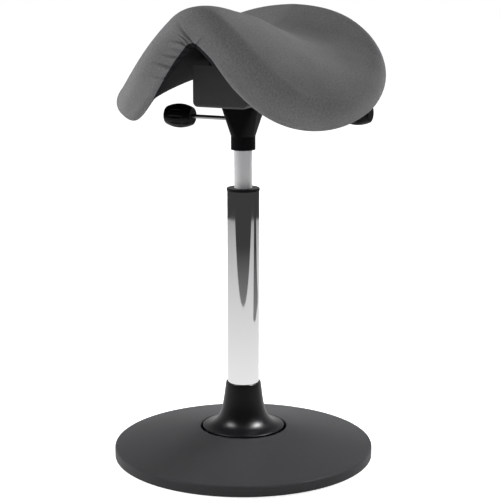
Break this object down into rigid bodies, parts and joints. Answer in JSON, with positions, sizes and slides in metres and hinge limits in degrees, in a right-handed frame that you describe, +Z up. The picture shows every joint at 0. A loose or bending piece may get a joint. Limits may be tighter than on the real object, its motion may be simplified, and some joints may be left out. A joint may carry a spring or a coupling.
{
  "type": "active chair",
  "caption": "Active chair: padded saddle seat with tilt lock and lever-worked gas spring, on a swivelling column that leans in a weighted round base.",
  "frame": {"origin": "on the floor, under the column axis, at the centre of the base", "axes": "+Z up along the column, -Y to the front of the seat, -X to the sitter's right"},
  "size_m": [0.4154, 0.412, 0.7183],
  "materials": {
    "base_plastic": "fine moulded grain",
    "ballast_paint": "matt black paint",
    "foot_rubber": "matt",
    "plain_steel": "plain turned or drawn steel",
    "cast_housing": "as cast, machined seats",
    "flex_rubber": "matt",
    "column_chrome": "mirror chrome plating",
    "trumpet_plastic": "glossy black",
    "bush_plastic": "low friction plastic",
    "cylinder_steel": "satin drawn steel",
    "console_paint": "satin black powder coat",
    "cover_plastic": "satin moulded",
    "knob_plastic": "satin moulded",
    "lever_steel": "zinc-plated bar",
    "shell_plastic": "matt black moulded",
    "block_wood": "plywood stained black",
    "seat_fabric": "dark grey woven upholstery over moulded foam"
  },
  "bodies": {
    "base": {"base_cover": "base_plastic", "ballast_plate": "ballast_paint", "foot_ring": "foot_rubber", "cover_screws": "plain_steel", "flex_housing": "cast_housing", "housing_bolts": "plain_steel"},
    "flex_ring": {"flex_ring": "flex_rubber"},
    "column": {"ball_hub": "cast_housing", "column_tube": "column_chrome", "trumpet_cover": "trumpet_plastic", "guide_bush": "bush_plastic", "end_disc": "plain_steel", "lower_washer": "plain_steel", "thrust_balls": "plain_steel", "ball_cage": "bush_plastic"},
    "rod": {"upper_washer": "plain_steel", "piston_rod": "plain_steel", "rod_clip": "plain_steel", "bump_stop": "flex_rubber", "piston": "plain_steel", "piston_ring": "bush_plastic"},
    "upper": {"gas_cylinder": "cylinder_steel", "rod_seal": "bush_plastic", "console": "console_paint", "lever_pin": "plain_steel", "tilt_pin": "plain_steel", "pin_clips": "plain_steel"},
    "valve": {"valve_pin": "plain_steel"},
    "height_lever": {"height_lever": "lever_steel", "height_knob": "knob_plastic"},
    "seat": {"seat_bracket": "console_paint", "pivot_bushes": "bush_plastic", "friction_washers": "bush_plastic", "clamp_shaft": "plain_steel", "clamp_nut": "plain_steel", "disc_springs": "plain_steel", "pressure_sleeve": "plain_steel", "lever_cross_pin": "plain_steel", "front_cover": "cover_plastic", "rear_cover": "cover_plastic", "box_screws": "plain_steel", "seat_pad": "seat_fabric", "seat_shell": "shell_plastic", "mounting_block": "block_wood", "seat_bolts": "plain_steel"},
    "tilt_lever": {"tilt_lever": "lever_steel", "tilt_knob": "knob_plastic"}
  },
  "joints": [
    {"name": "base_lean_side", "type": "hinge", "parent": "base", "child": "flex_ring", "pos_m": [0, 0, 0.028], "axis": [0, 1, 0], "range_deg": [-6, 6], "stiffness_Nm_per_rad": 400},
    {"name": "base_lean_fore", "type": "hinge", "parent": "flex_ring", "child": "column", "pos_m": [0, 0, 0.028], "axis": [1, 0, 0], "range_deg": [-6, 6], "stiffness_Nm_per_rad": 400},
    {"name": "seat_swivel", "type": "hinge", "parent": "column", "child": "rod", "pos_m": [0, 0, 0.02], "axis": [0, 0, 1], "continuous": true},
    {"name": "seat_height", "type": "slide", "parent": "rod", "child": "upper", "axis": [0, 0, 1], "range_m": [-0.058, 0.19]},
    {"name": "seat_tilt", "type": "hinge", "parent": "upper", "child": "seat", "pos_m": [0, 0, 0.58], "axis": [1, 0, 0], "range_deg": [-6, 8]},
    {"name": "height_lever_press", "type": "hinge", "parent": "upper", "child": "height_lever", "pos_m": [0.014, 0, 0.539], "axis": [0, -1, 0], "range_deg": [0, 11], "stiffness_Nm_per_rad": 1.5, "springref_deg": -11.46},
    {"name": "valve_press", "type": "slide", "parent": "upper", "child": "valve", "axis": [0, 0, -1], "range_m": [0, 0.0036]},
    {"name": "tilt_lever_lock", "type": "hinge", "parent": "seat", "child": "tilt_lever", "pos_m": [0.0545, 0.034, 0.58], "axis": [0, 1, 0], "range_deg": [0, 12]}
  ],
  "couplings": [
    {"joint": "valve_press", "follows": "height_lever_press", "m_per_rad": 0.0175}
  ]
}
